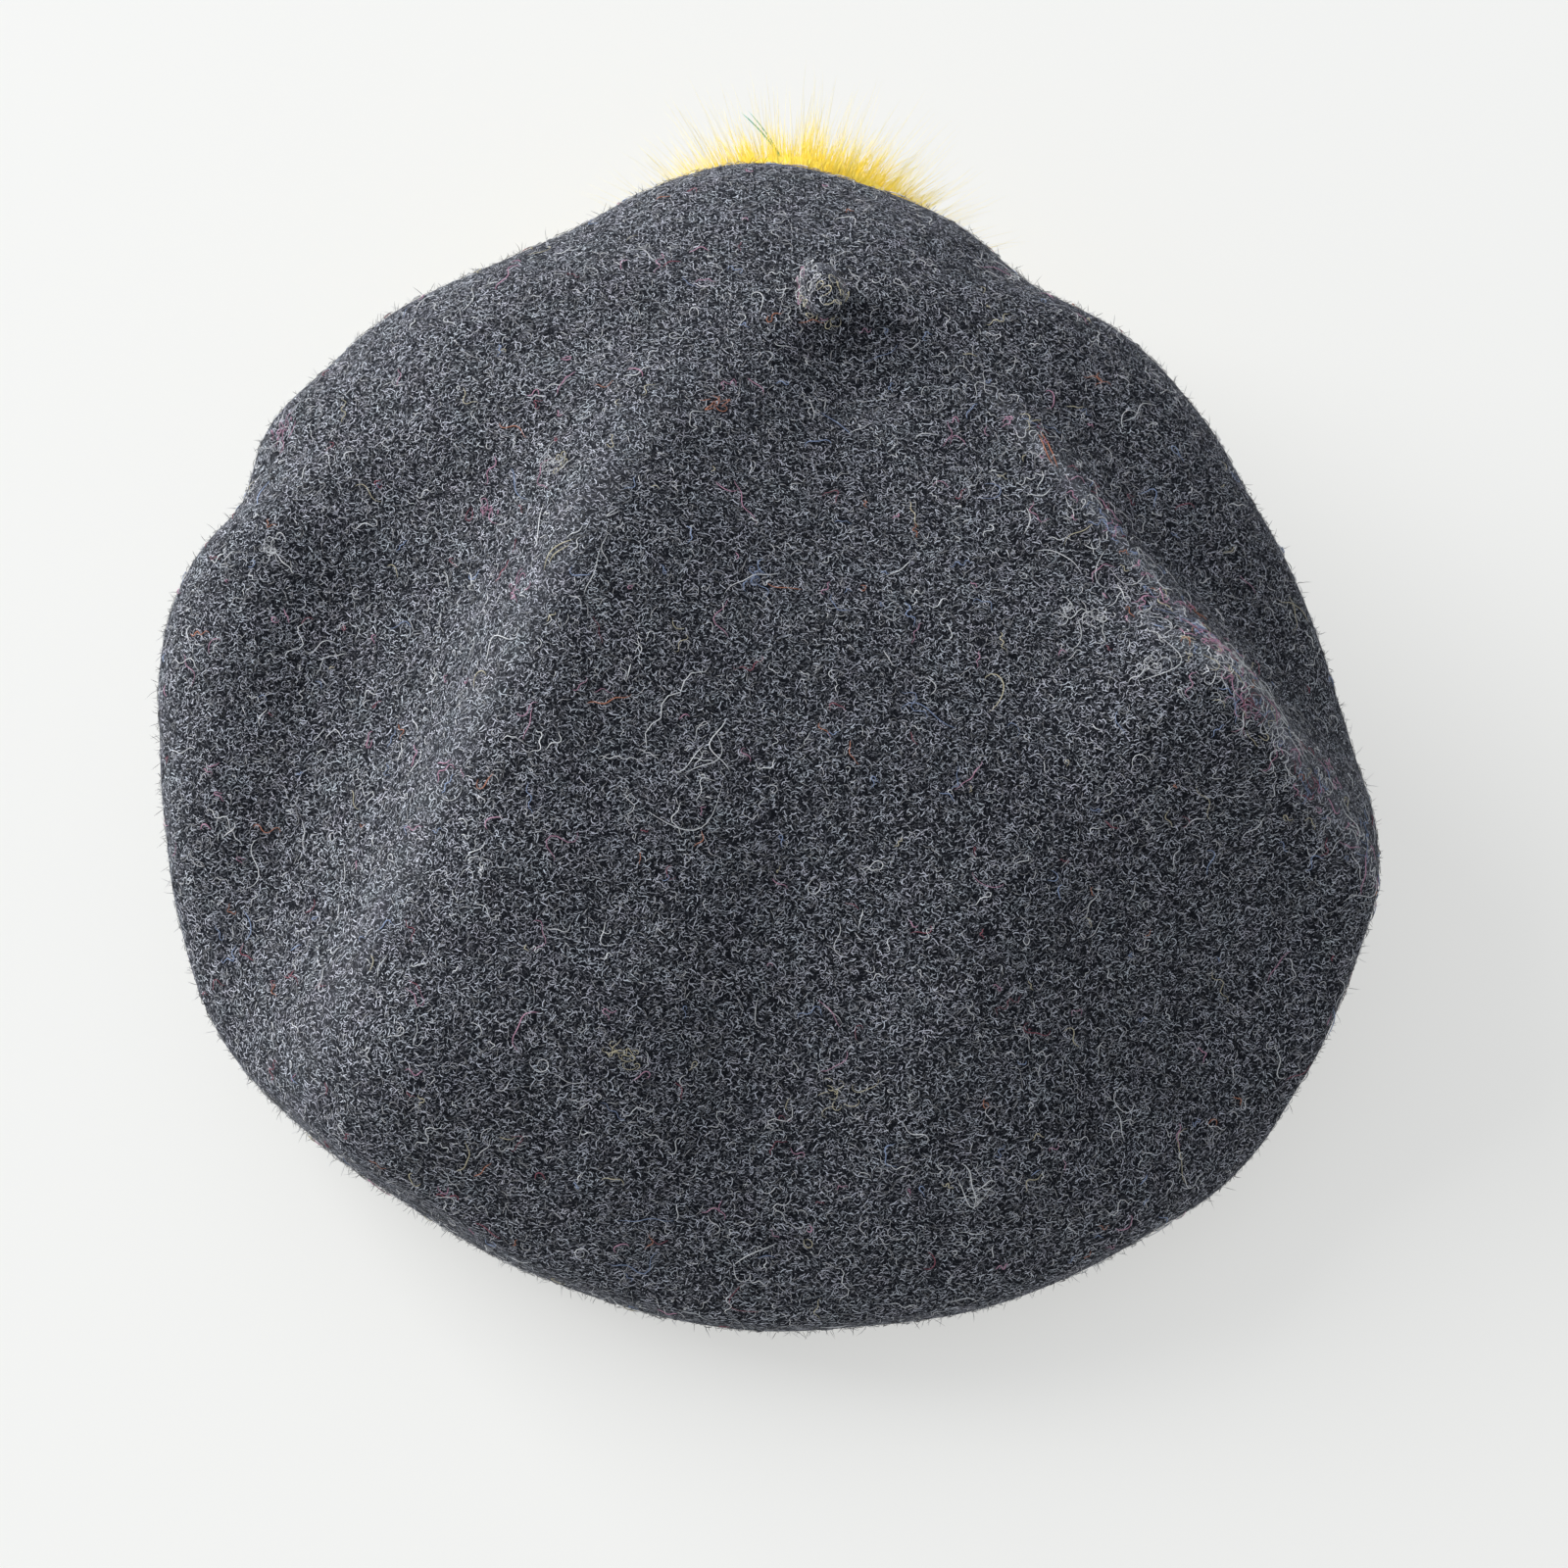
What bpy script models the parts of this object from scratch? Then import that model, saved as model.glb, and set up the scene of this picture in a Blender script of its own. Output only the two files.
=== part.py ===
"""Basque beret of fulled wool felt, with its stalk and a fur pompom at the front, at rest on a flat surface.

Metres, +Z up, +Y to the front. The whole is centred on X = Y = 0 and rests at Z = 0.
"""

import math
import random
from collections import namedtuple

import bmesh
import bpy
import numpy as np

MM = 0.001

# Place of the crown's middle, which centres the beret and its pompom on the origin
MIDDLE_X = 0.2 * MM
MIDDLE_Y = -18.8 * MM

# Crown. Places are from its middle.
CROWN_WIDTH = 246 * MM
CROWN_HEIGHT = 96 * MM
FELT_THICKNESS = 2.4 * MM
STALK_SPOT_X = 10.3 * MM
STALK_SPOT_Y = 71.4 * MM
EDGE_HEIGHT_BACK = 12 * MM
EDGE_HEIGHT_FRONT = 78 * MM
FOLD_SIZE = 12 * MM

# Head opening, with the band of felt round it that lies flat
OPENING_WIDTH = 170 * MM
OPENING_LENGTH = 156 * MM
OPENING_Y = -14 * MM
FLAT_BAND = 12 * MM

# Stalk
STALK_LENGTH = 19 * MM
STALK_WIDTH = 7.5 * MM
STALK_LEAN = 78
STALK_TURN = 8

# Pompom
POMPOM_RADIUS = 34 * MM
POMPOM_LOCK = 9 * MM
POMPOM_X = 5 * MM
POMPOM_HEIGHT = 46 * MM
POMPOM_STANDOFF = 5 * MM
POMPOM_SEED = 5

# Fit between pieces
GAP = 0.3 * MM

# Mesh
BEARINGS = 84
CROWN_RINGS = 14
ROLL_RINGS = 6
BAND_RINGS = 1

# How full the curve is over the crown and round under its edge, at the back and at the front:
# 1 is a straight slope, 2 a quarter of an ellipse, and more is squarer.
Round = namedtuple("Round", "place back front")
CROWN_ROUND = Round("crown", 1.40, 2.20)
TUCK_ROUND = Round("tuck", 2.00, 1.25)

# How far the crown's edge reaches at each bearing, as a share of half the crown's width.
# Bearings are in degrees from above: 0 right, 90 front, 180 left, 270 back.
Edge = namedtuple("Edge", "place bearing reach")
EDGE = [
    Edge("right side", 0, 0.976),
    Edge("right flat", 20, 0.907),
    Edge("right front corner", 43, 0.896),
    Edge("front right flat", 58, 0.868),
    Edge("front right corner", 70, 0.917),
    Edge("front right rise", 82, 0.946),
    Edge("front", 93, 0.971),
    Edge("front left flat", 116, 0.905),
    Edge("left front corner", 140, 0.965),
    Edge("left front bulge", 149, 0.990),
    Edge("left notch", 157, 0.964),
    Edge("left corner", 167, 1.005),
    Edge("left side", 187, 0.994),
    Edge("left back corner", 207, 1.001),
    Edge("back left flat", 240, 0.931),
    Edge("back", 270, 0.931),
    Edge("back right", 300, 0.978),
    Edge("right back corner", 318, 1.013),
    Edge("right back flat", 337, 1.022),
    Edge("right corner", 352, 1.012),
]

# Each fold runs straight from its start to its end, in plan. Places and widths are shares of half the
# crown's width, and height is a share of FOLD_SIZE, below zero for a hollow. Left and right are as seen
# from its start. Crisp is 2 for a soft fold and 1 for a sharp crest.
Fold = namedtuple("Fold", "place start_x start_y end_x end_y height wide_left wide_right crisp")
FOLDS = [
    Fold("left main ridge", -0.05, 0.57, -0.95, -1.01, 1.00, 0.36, 0.11, 1.5),
    Fold("left hollow", -0.46, 0.48, -0.84, -0.70, -1.00, 0.20, 0.20, 2.4),
    Fold("left shoulder", -0.61, 0.72, -0.99, 0.30, -0.22, 0.15, 0.13, 2.0),
    Fold("left foot swell", -0.49, -0.48, -0.71, -0.97, 0.50, 0.22, 0.09, 2.0),
    Fold("right ridge", 0.28, 0.52, 0.95, -0.32, 1.00, 0.07, 0.36, 1.3),
    Fold("right ridge foot", 0.50, 0.08, 1.18, -0.40, 0.80, 0.07, 0.25, 1.3),
    Fold("right hollow", 0.08, 0.48, 1.25, -0.25, -1.05, 0.17, 0.26, 1.6),
    Fold("right back slope", 0.89, -0.12, 0.66, -0.85, -0.85, 0.12, 0.28, 2.1),
    Fold("back hollow", 0.19, -0.09, -0.15, -1.15, -0.36, 0.15, 0.13, 2.1),
    Fold("back ripple", 0.46, -0.14, -0.48, -0.88, 0.55, 0.36, 0.26, 2.1),
    Fold("stalk dimple", 0.12, 0.56, 0.18, 0.34, -0.32, 0.08, 0.08, 2.0),
]


def clear_scene():
    for thing in list(bpy.data.objects):
        bpy.data.objects.remove(thing, do_unlink=True)


def around(bearing, rows, column):
    """A column of a table at each bearing, eased from row to row round the full circle."""
    stops = np.array([row.bearing for row in rows], float)
    values = np.array([getattr(row, column) for row in rows], float)
    stops = np.concatenate([stops[-2:] - 360, stops, stops[:2] + 360])
    values = np.concatenate([values[-2:], values, values[:2]])
    slopes = np.gradient(values, stops)
    turn = np.mod(bearing, 360)
    row = np.searchsorted(stops, turn, side="right") - 1
    span = stops[row + 1] - stops[row]
    t = (turn - stops[row]) / span
    return (
        values[row] * (1 + 2 * t) * (1 - t) ** 2
        + values[row + 1] * t**2 * (3 - 2 * t)
        + span * slopes[row] * t * (1 - t) ** 2
        - span * slopes[row + 1] * t**2 * (1 - t)
    )


def ease(value):
    """0 to 1 with a soft start and a soft end."""
    t = np.clip(value, 0, 1)
    return t * t * (3 - 2 * t)


def fold_lift(x, y):
    """How far the folds raise the crown at a place in plan."""
    half = CROWN_WIDTH / 2
    lift = np.zeros(np.shape(x))
    for fold in FOLDS:
        start = np.array([fold.start_x, fold.start_y]) * half
        line = np.array([fold.end_x, fold.end_y]) * half - start
        length = np.hypot(*line)
        along = ((x - start[0]) * line[0] + (y - start[1]) * line[1]) / length**2
        left = ((y - start[1]) * line[0] - (x - start[0]) * line[1]) / length
        wide = np.where(left > 0, fold.wide_left, fold.wide_right) * half
        across = np.exp(-((np.hypot(left / wide, 0.12) - 0.12) ** fold.crisp))
        swell = ease(along * 3) * ease((1 - along) * 3)
        lift = lift + fold.height * FOLD_SIZE * across * swell
    return lift


def edge_of_crown(bearing):
    """Plan place and height of the crown's outermost edge."""
    turn = np.radians(bearing)
    reach = around(bearing, EDGE, "reach") * CROWN_WIDTH / 2
    x = reach * np.cos(turn)
    y = reach * np.sin(turn)
    front = (y / (CROWN_WIDTH / 2) + 1) / 2
    return x, y, EDGE_HEIGHT_BACK + (EDGE_HEIGHT_FRONT - EDGE_HEIGHT_BACK) * front


def opening_line(bearing, band):
    """Plan line round the head opening, a band's width outside it."""
    turn = np.radians(bearing)
    x = (OPENING_WIDTH / 2 + band) * np.cos(turn)
    y = OPENING_Y + (OPENING_LENGTH / 2 + band) * np.sin(turn)
    return x, y


def felt_face(bearing, run):
    """Outer face of the felt. Run goes 0 to 1 over the crown, 1 to 2 round the edge, 2 to 3 over the flat band."""
    bearing, run = np.broadcast_arrays(np.asarray(bearing, float), np.asarray(run, float))
    edge_x, edge_y, edge_z = edge_of_crown(bearing)
    foot_x, foot_y = opening_line(bearing, FLAT_BAND)
    rim_x, rim_y = opening_line(bearing, 0)

    front = (np.sin(np.radians(bearing)) + 1) / 2
    power = 2 / (CROWN_ROUND.back + (CROWN_ROUND.front - CROWN_ROUND.back) * front)
    arc = np.clip(run, 0, 1) * math.pi / 2
    out = np.sin(arc) ** power
    crown_z = edge_z + (CROWN_HEIGHT - edge_z) * np.clip(np.cos(arc), 0, 1) ** power
    x = STALK_SPOT_X + (edge_x - STALK_SPOT_X) * out
    y = STALK_SPOT_Y + (edge_y - STALK_SPOT_Y) * out
    z = crown_z + fold_lift(x, y)

    power = 2 / (TUCK_ROUND.back + (TUCK_ROUND.front - TUCK_ROUND.back) * front)
    roll = np.clip(run - 1, 0, 1) * math.pi / 2
    tuck = 1 - np.clip(np.cos(roll), 0, 1) ** power
    x = x + (foot_x - x) * tuck
    y = y + (foot_y - y) * tuck
    z = z * (1 - np.sin(roll) ** power)

    flat = np.clip(run - 2, 0, 1)
    x = x + (rim_x - foot_x) * flat + MIDDLE_X
    y = y + (rim_y - foot_y) * flat + MIDDLE_Y
    return np.stack([x, y, np.where(run >= 2, 0, z)], axis=-1)


def felt_normal(bearing, run):
    """Outward direction of the felt at each place, from the faces just beside it."""
    side = 0.5
    step = 0.004
    low = np.clip(run - step, 0.02, 3)
    high = np.clip(run + step, 0.02, 3)
    along = felt_face(bearing, high) - felt_face(bearing, low)
    level = np.clip(run, 0.02, 3)
    across = felt_face(bearing + side, level) - felt_face(bearing - side, level)
    normal = np.cross(along, across)
    return normal / np.linalg.norm(normal, axis=-1, keepdims=True)


def ring_faces(rings, per_ring, first):
    """Quads between rings of points that are numbered one after the other."""
    faces = []
    for ring in range(rings - 1):
        for side in range(per_ring):
            near = first + ring * per_ring + side
            beside = first + ring * per_ring + (side + 1) % per_ring
            faces.append((near, near + per_ring, beside + per_ring, beside))
    return faces


def solid(name, points, faces, smooth_angle):
    """An object from points and faces, its faces turned outward and its soft edges shaded smooth."""
    mesh = bpy.data.meshes.new(name)
    mesh.from_pydata([tuple(map(float, point)) for point in points], [], faces)
    work = bmesh.new()
    work.from_mesh(mesh)
    bmesh.ops.recalc_face_normals(work, faces=work.faces)
    if work.calc_volume(signed=True) < 0:
        bmesh.ops.reverse_faces(work, faces=work.faces)
    work.to_mesh(mesh)
    work.free()
    thing = bpy.data.objects.new(name, mesh)
    bpy.context.scene.collection.objects.link(thing)
    mesh.shade_smooth()
    mesh.set_sharp_from_angle(angle=math.radians(smooth_angle))
    return thing


def paint(thing, colour, roughness):
    """A plain material of the piece's own; colour is linear red, green and blue."""
    material = bpy.data.materials.new(thing.name)
    material.use_nodes = True
    shader = material.node_tree.nodes["Principled BSDF"]
    shader.inputs["Base Color"].default_value = (*colour, 1)
    shader.inputs["Roughness"].default_value = roughness
    shader.inputs["Metallic"].default_value = 0
    thing.data.materials.append(material)


def felt_shell():
    """The crown, its edge and the turned-under part as one wall of felt, open where the head goes in."""
    runs = np.concatenate([
        np.linspace(0, 1, CROWN_RINGS + 1)[1:],
        1 + np.linspace(0, 1, ROLL_RINGS + 1)[1:],
        2 + np.linspace(0, 1, BAND_RINGS + 1)[1:],
    ])
    bearings = np.arange(BEARINGS) * 360 / BEARINGS
    bearing, run = np.meshgrid(bearings, runs)
    outer = felt_face(bearing, run)
    inner = outer - FELT_THICKNESS * felt_normal(bearing, run)
    inner[run >= 2, 2] = FELT_THICKNESS
    outer_top = felt_face(0, 0)
    inner_top = outer_top - np.array([0, 0, FELT_THICKNESS])

    count = len(runs) * BEARINGS
    points = [outer_top, *outer.reshape(-1, 3), *inner[::-1].reshape(-1, 3), inner_top]
    faces = ring_faces(2 * len(runs), BEARINGS, 1)
    last = 2 * count + 1
    for side in range(BEARINGS):
        beside = (side + 1) % BEARINGS
        faces.append((0, 1 + side, 1 + beside))
        faces.append((last, last - BEARINGS + beside, last - BEARINGS + side))
    shell = solid("felt_shell", points, faces, 40)
    paint(shell, (0.030, 0.032, 0.038), 0.95)
    return shell


def stalk():
    """The short felt nub that stands at the middle of the crown and leans back."""
    sides = 12
    rings = 8
    top = felt_face(0, 0)
    points = []
    spot = np.array([top[0], top[1], top[2] + GAP])
    for ring in range(rings):
        share = ring / (rings - 1)
        lean = math.radians(STALK_LEAN * min(1, 1.6 * share))
        turn = math.radians(STALK_TURN)
        axis = np.array([math.sin(lean) * math.sin(turn), -math.sin(lean) * math.cos(turn), math.cos(lean)])
        right = np.array([math.cos(turn), math.sin(turn), 0])
        up = np.cross(axis, right)
        radius = STALK_WIDTH / 2 * (0.86 + 0.14 * math.sin(math.pi * share))
        radius *= math.sqrt(max(0.2, 1 - max(0, share - 0.75) ** 2 * 14))
        for side in range(sides):
            angle = 2 * math.pi * side / sides
            points.append(spot + radius * (math.cos(angle) * right + math.sin(angle) * up))
        spot = spot + axis * STALK_LENGTH / (rings - 1)
    faces = ring_faces(rings, sides, 0)
    faces.append(tuple(range(sides)))
    faces.append(tuple(reversed(range((rings - 1) * sides, rings * sides))))
    nub = solid("stalk", points, faces, 50)
    paint(nub, (0.11, 0.11, 0.12), 0.95)
    return nub


def ball_directions(steps):
    """Unit directions and faces of a ball made of near-equal triangles."""
    work = bmesh.new()
    bmesh.ops.create_icosphere(work, subdivisions=steps, radius=1)
    points = np.array([tuple(v.co) for v in work.verts])
    faces = [tuple(v.index for v in face.verts) for face in work.faces]
    work.free()
    return points / np.linalg.norm(points, axis=1, keepdims=True), faces


def pompom_seat():
    """Middle of the pompom, the way it faces, and how far behind its middle the felt is."""
    bearing, run = np.meshgrid(np.linspace(50, 130, 81), np.linspace(0.8, 2, 61))
    wall = felt_face(bearing, run).reshape(-1, 3)
    across = MIDDLE_X + POMPOM_X
    beside = wall[np.abs(wall[:, 0] - across) < POMPOM_LOCK / 4]
    order = np.argsort(beside[:, 2])
    heights = POMPOM_HEIGHT + POMPOM_RADIUS * np.array([-0.7, 0, 0.7])
    low, level, high = np.interp(heights, beside[order, 2], beside[order, 1])
    slope = np.array([0, high - low, heights[2] - heights[0]])
    slope /= np.linalg.norm(slope)
    away = np.array([0, slope[2], -slope[1]])
    middle = np.array([across, level, POMPOM_HEIGHT]) + away * POMPOM_STANDOFF
    near = wall[np.linalg.norm(wall - middle, axis=1) < POMPOM_RADIUS + POMPOM_LOCK]
    return middle, away, float(-((near - middle) @ away).max() - GAP)


def pompom():
    """A ball of fur with its locks drawn out of one head, flat where it sits against the felt."""
    chance = random.Random(POMPOM_SEED)
    middle, away, seat = pompom_seat()
    directions, faces = ball_directions(4)
    tips = ball_directions(3)[0]
    points = []
    for direction in directions:
        tip = np.min(np.linalg.norm(tips - direction, axis=1)) < 0.01
        reach = POMPOM_RADIUS + (POMPOM_LOCK * chance.uniform(0.6, 1.0) if tip else 0)
        facing = -float(direction @ away)
        if facing > 0:
            reach = min(reach, seat / facing)
        points.append(middle + direction * reach)
    ball = solid("fur_pompom", points, faces, 60)
    paint(ball, (0.93, 0.60, 0.04), 0.8)
    return ball


clear_scene()
felt_shell()
stalk()
pompom()
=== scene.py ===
import math
from collections import namedtuple

import bpy
import numpy as np
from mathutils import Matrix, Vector
from mathutils.bvhtree import BVHTree


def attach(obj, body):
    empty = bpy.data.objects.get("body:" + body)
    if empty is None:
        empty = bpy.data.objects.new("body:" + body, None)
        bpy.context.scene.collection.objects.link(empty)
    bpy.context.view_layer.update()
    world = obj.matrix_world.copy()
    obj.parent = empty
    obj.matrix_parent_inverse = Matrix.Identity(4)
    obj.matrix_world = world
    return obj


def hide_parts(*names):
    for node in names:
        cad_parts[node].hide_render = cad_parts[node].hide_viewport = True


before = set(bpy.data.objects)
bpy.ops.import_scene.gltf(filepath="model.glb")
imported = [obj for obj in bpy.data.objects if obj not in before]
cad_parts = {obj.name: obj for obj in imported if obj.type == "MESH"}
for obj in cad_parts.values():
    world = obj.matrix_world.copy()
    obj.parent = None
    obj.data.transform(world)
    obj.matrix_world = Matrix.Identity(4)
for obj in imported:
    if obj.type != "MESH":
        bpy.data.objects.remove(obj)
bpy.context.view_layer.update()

# Felt shell
#
# The beret itself: one round of knitted wool, fulled until it shrank and matted into felt about 2.4 mm
# thick, then drawn in round the head opening. It slumps to the back and lies on its turned-under edge.

MM = 0.001
MIDDLE_X = 0.2 * MM
MIDDLE_Y = -18.8 * MM
CROWN_WIDTH = 246 * MM
CROWN_HEIGHT = 96 * MM
FELT_THICKNESS = 2.4 * MM
STALK_SPOT_X = 10.3 * MM
STALK_SPOT_Y = 71.4 * MM
EDGE_HEIGHT_BACK = 12 * MM
EDGE_HEIGHT_FRONT = 78 * MM
FOLD_SIZE = 12 * MM
OPENING_WIDTH = 170 * MM
OPENING_LENGTH = 156 * MM
OPENING_Y = -14 * MM
FLAT_BAND = 12 * MM

# Mesh: points round each ring, and rings over the crown, round the edge and over the flat band
BEARINGS = 252
OUTER_RINGS = (60, 26, 3)
INNER_RINGS = (30, 13, 2)
UNEVENNESS = 0.45 * MM

# Below this height the felt turns under, out of sight
UNDERSIDE = 12 * MM

# How full the curve is over the crown and round under its edge, at the back and at the front
Round = namedtuple("Round", "place back front")
CROWN_ROUND = Round("crown", 1.40, 2.20)
TUCK_ROUND = Round("tuck", 2.00, 1.25)

# Reach of the crown's edge at each bearing, as a share of half the crown's width: 0 right, 90 front
Edge = namedtuple("Edge", "place bearing reach")
EDGE = [
    Edge("right side", 0, 0.976),
    Edge("right flat", 20, 0.907),
    Edge("right front corner", 43, 0.896),
    Edge("front right flat", 58, 0.868),
    Edge("front right corner", 70, 0.917),
    Edge("front right rise", 82, 0.946),
    Edge("front", 93, 0.971),
    Edge("front left flat", 116, 0.905),
    Edge("left front corner", 140, 0.965),
    Edge("left front bulge", 149, 0.990),
    Edge("left notch", 157, 0.964),
    Edge("left corner", 167, 1.005),
    Edge("left side", 187, 0.994),
    Edge("left back corner", 207, 1.001),
    Edge("back left flat", 240, 0.931),
    Edge("back", 270, 0.931),
    Edge("back right", 300, 0.978),
    Edge("right back corner", 318, 1.013),
    Edge("right back flat", 337, 1.022),
    Edge("right corner", 352, 1.012),
]

# Folds run straight in plan. Places and widths are shares of half the crown's width, height of FOLD_SIZE.
Fold = namedtuple("Fold", "place start_x start_y end_x end_y height wide_left wide_right crisp")
FOLDS = [
    Fold("left main ridge", -0.05, 0.57, -0.95, -1.01, 1.00, 0.36, 0.11, 1.5),
    Fold("left hollow", -0.46, 0.48, -0.84, -0.70, -1.00, 0.20, 0.20, 2.4),
    Fold("left shoulder", -0.61, 0.72, -0.99, 0.30, -0.22, 0.15, 0.13, 2.0),
    Fold("left foot swell", -0.49, -0.48, -0.71, -0.97, 0.50, 0.22, 0.09, 2.0),
    Fold("right ridge", 0.28, 0.52, 0.95, -0.32, 1.00, 0.07, 0.36, 1.3),
    Fold("right ridge foot", 0.50, 0.08, 1.18, -0.40, 0.80, 0.07, 0.25, 1.3),
    Fold("right hollow", 0.08, 0.48, 1.25, -0.25, -1.05, 0.17, 0.26, 1.6),
    Fold("right back slope", 0.89, -0.12, 0.66, -0.85, -0.85, 0.12, 0.28, 2.1),
    Fold("back hollow", 0.19, -0.09, -0.15, -1.15, -0.36, 0.15, 0.13, 2.1),
    Fold("back ripple", 0.46, -0.14, -0.48, -0.88, 0.55, 0.36, 0.26, 2.1),
    Fold("stalk dimple", 0.12, 0.56, 0.18, 0.34, -0.32, 0.08, 0.08, 2.0),
]


def around(bearing, rows, column):
    """A column of a table at each bearing, eased from row to row round the full circle."""
    stops = np.array([row.bearing for row in rows], float)
    values = np.array([getattr(row, column) for row in rows], float)
    stops = np.concatenate([stops[-2:] - 360, stops, stops[:2] + 360])
    values = np.concatenate([values[-2:], values, values[:2]])
    slopes = np.gradient(values, stops)
    turn = np.mod(bearing, 360)
    row = np.searchsorted(stops, turn, side="right") - 1
    span = stops[row + 1] - stops[row]
    t = (turn - stops[row]) / span
    return (
        values[row] * (1 + 2 * t) * (1 - t) ** 2
        + values[row + 1] * t**2 * (3 - 2 * t)
        + span * slopes[row] * t * (1 - t) ** 2
        - span * slopes[row + 1] * t**2 * (1 - t)
    )


def ease(value):
    """0 to 1 with a soft start and a soft end."""
    t = np.clip(value, 0, 1)
    return t * t * (3 - 2 * t)


def fold_lift(x, y):
    """How far the folds raise the crown at a place in plan."""
    half = CROWN_WIDTH / 2
    lift = np.zeros(np.shape(x))
    for fold in FOLDS:
        start = np.array([fold.start_x, fold.start_y]) * half
        line = np.array([fold.end_x, fold.end_y]) * half - start
        length = np.hypot(*line)
        along = ((x - start[0]) * line[0] + (y - start[1]) * line[1]) / length**2
        left = ((y - start[1]) * line[0] - (x - start[0]) * line[1]) / length
        wide = np.where(left > 0, fold.wide_left, fold.wide_right) * half
        across = np.exp(-((np.hypot(left / wide, 0.12) - 0.12) ** fold.crisp))
        swell = ease(along * 3) * ease((1 - along) * 3)
        lift = lift + fold.height * FOLD_SIZE * across * swell
    return lift


def opening_line(bearing, band):
    """Plan line round the head opening, a band's width outside it."""
    turn = np.radians(bearing)
    x = (OPENING_WIDTH / 2 + band) * np.cos(turn)
    y = OPENING_Y + (OPENING_LENGTH / 2 + band) * np.sin(turn)
    return x, y


def felt_face(bearing, run):
    """Outer face of the felt. Run is 0 to 1 over the crown, 1 to 2 round the edge, then the flat band."""
    bearing, run = np.broadcast_arrays(np.asarray(bearing, float), np.asarray(run, float))
    turn = np.radians(bearing)
    reach = around(bearing, EDGE, "reach") * CROWN_WIDTH / 2
    edge_x = reach * np.cos(turn)
    edge_y = reach * np.sin(turn)
    forward = (edge_y / (CROWN_WIDTH / 2) + 1) / 2
    edge_z = EDGE_HEIGHT_BACK + (EDGE_HEIGHT_FRONT - EDGE_HEIGHT_BACK) * forward
    foot_x, foot_y = opening_line(bearing, FLAT_BAND)
    rim_x, rim_y = opening_line(bearing, 0)

    front = (np.sin(turn) + 1) / 2
    power = 2 / (CROWN_ROUND.back + (CROWN_ROUND.front - CROWN_ROUND.back) * front)
    arc = np.clip(run, 0, 1) * math.pi / 2
    out = np.sin(arc) ** power
    crown_z = edge_z + (CROWN_HEIGHT - edge_z) * np.clip(np.cos(arc), 0, 1) ** power
    x = STALK_SPOT_X + (edge_x - STALK_SPOT_X) * out
    y = STALK_SPOT_Y + (edge_y - STALK_SPOT_Y) * out
    z = crown_z + fold_lift(x, y)

    power = 2 / (TUCK_ROUND.back + (TUCK_ROUND.front - TUCK_ROUND.back) * front)
    roll = np.clip(run - 1, 0, 1) * math.pi / 2
    tuck = 1 - np.clip(np.cos(roll), 0, 1) ** power
    x = x + (foot_x - x) * tuck
    y = y + (foot_y - y) * tuck
    z = z * (1 - np.sin(roll) ** power)

    flat = np.clip(run - 2, 0, 1)
    x = x + (rim_x - foot_x) * flat + MIDDLE_X
    y = y + (rim_y - foot_y) * flat + MIDDLE_Y
    return np.stack([x, y, np.where(run >= 2, 0, z)], axis=-1)


def unit(vectors):
    """The same directions, each of length one."""
    return vectors / np.maximum(np.linalg.norm(vectors, axis=-1, keepdims=True), 1e-12)


def felt_normal(bearing, run):
    """Outward direction of the felt at each place."""
    low = felt_face(bearing, np.clip(run - 0.004, 0.02, 3))
    high = felt_face(bearing, np.clip(run + 0.004, 0.02, 3))
    before = felt_face(bearing - 0.5, np.clip(run, 0.02, 3))
    after = felt_face(bearing + 0.5, np.clip(run, 0.02, 3))
    return unit(np.cross(high - low, after - before))


def matting(places, seed):
    """Small unevenness left by fulling, from -1 to 1: a sum of slow waves, 14 to 45 mm long."""
    chance = np.random.default_rng(seed)
    waves = 14
    total = np.zeros(places.shape[:-1])
    for _ in range(waves):
        way = unit(chance.normal(size=3))
        turns = places @ way / (chance.uniform(14, 45) * MM)
        total = total + np.sin(turns * 2 * math.pi + chance.uniform(0, 6.28))
    return total / (waves / 2)


def stops_of(crown, roll, band):
    """Runs at which a face has its rings, closer together where the felt turns under."""
    return np.concatenate([
        np.linspace(0, 1, crown + 1)[1:],
        1 + np.linspace(0, 1, roll + 1)[1:],
        2 + np.linspace(0, 1, band + 1)[1:],
    ])


def ring_quads(rings, per_ring, first):
    """Quads between rings of points that are numbered one after the other."""
    ring, side = np.meshgrid(np.arange(rings - 1), np.arange(per_ring), indexing="ij")
    near = first + ring * per_ring + side
    beside = first + ring * per_ring + (side + 1) % per_ring
    return np.stack([near, near + per_ring, beside + per_ring, beside], axis=-1).reshape(-1, 4)


def smooth_piece(name, points, faces):
    """An object of points and faces, shaded smooth."""
    mesh = bpy.data.meshes.new(name)
    mesh.from_pydata(points.tolist(), [], faces)
    mesh.shade_smooth()
    piece = bpy.data.objects.new(name, mesh)
    bpy.context.scene.collection.objects.link(piece)
    return piece


# The outer face, uneven except by the stalk and where the felt lies on the floor
round_bearings = np.arange(BEARINGS) * 360 / BEARINGS
outer_runs = stops_of(*OUTER_RINGS)
bearing, run = np.meshgrid(round_bearings, outer_runs)
outer = felt_face(bearing, run)
outward = felt_normal(bearing, run)
calm = (ease(run * 8) * ease((1.9 - run) * 3))[..., None]
outer = outer + outward * calm * matting(outer, 3)[..., None] * UNEVENNESS

# The inner face, one thickness inside, and level over the flat band
inner_runs = stops_of(*INNER_RINGS)
bearing, run = np.meshgrid(round_bearings, inner_runs)
inner = felt_face(bearing, run) - FELT_THICKNESS * felt_normal(bearing, run)
inner[run >= 2, 2] = FELT_THICKNESS

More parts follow.
